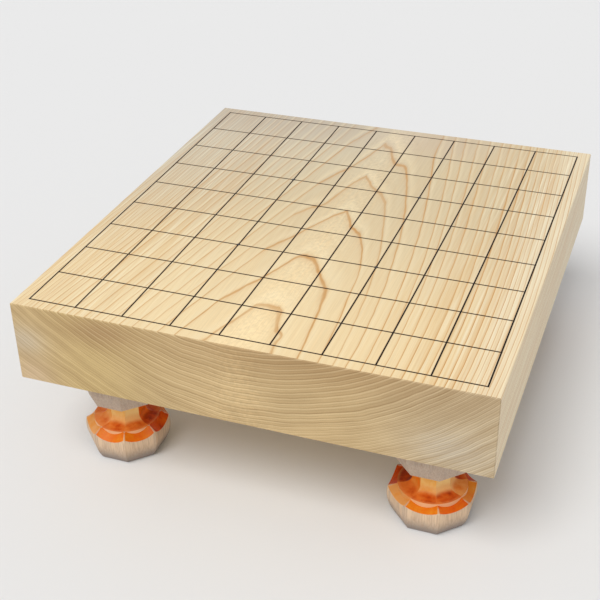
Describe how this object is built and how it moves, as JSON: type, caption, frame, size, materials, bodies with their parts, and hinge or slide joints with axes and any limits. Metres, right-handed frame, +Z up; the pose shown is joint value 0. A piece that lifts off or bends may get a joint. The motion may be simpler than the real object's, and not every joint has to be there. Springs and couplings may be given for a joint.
{
  "type": "legged shogi board",
  "caption": "Low floor-standing shogi board: a thick solid wood plank with a raised lacquer grid of squares and star points on top, on carved faceted legs that pull out of its underside.",
  "frame": {"origin": "middle of the footprint, on the floor under the feet", "axes": "+Z up; +X along the ranks, to the right seen from the front; +Y along the files, away from the front, where -Y is the end-grain side"},
  "size_m": [0.333, 0.364, 0.1429],
  "materials": {
    "plank_wood": "planed and waxed pale conifer, satin",
    "lacquer": "near-black lacquer drawn in raised lines, satin gloss",
    "leg_wood": "bare planed wood, carved hollows and bevels stained orange to red-brown"
  },
  "bodies": {
    "board": {"board": "plank_wood", "file_line_1": "lacquer", "file_line_2": "lacquer", "file_line_3": "lacquer", "file_line_4": "lacquer", "file_line_5": "lacquer", "file_line_6": "lacquer", "file_line_7": "lacquer", "file_line_8": "lacquer", "file_line_9": "lacquer", "file_line_10": "lacquer", "rank_line_1": "lacquer", "rank_line_2": "lacquer", "rank_line_3": "lacquer", "rank_line_4": "lacquer", "rank_line_5": "lacquer", "rank_line_6": "lacquer", "rank_line_7": "lacquer", "rank_line_8": "lacquer", "rank_line_9": "lacquer", "rank_line_10": "lacquer", "star_point_front_left": "lacquer", "star_point_front_right": "lacquer", "star_point_back_left": "lacquer", "star_point_back_right": "lacquer"},
    "leg_front_left": {"leg_front_left": "leg_wood"},
    "leg_front_right": {"leg_front_right": "leg_wood"},
    "leg_back_left": {"leg_back_left": "leg_wood"},
    "leg_back_right": {"leg_back_right": "leg_wood"}
  },
  "joints": [
    {"name": "leg_front_left_pull", "type": "slide", "parent": "board", "child": "leg_front_left", "axis": [0, 0, -1], "range_m": [0, 0.03]},
    {"name": "leg_front_right_pull", "type": "slide", "parent": "board", "child": "leg_front_right", "axis": [0, 0, -1], "range_m": [0, 0.03]},
    {"name": "leg_back_left_pull", "type": "slide", "parent": "board", "child": "leg_back_left", "axis": [0, 0, -1], "range_m": [0, 0.03]},
    {"name": "leg_back_right_pull", "type": "slide", "parent": "board", "child": "leg_back_right", "axis": [0, 0, -1], "range_m": [0, 0.03]}
  ]
}
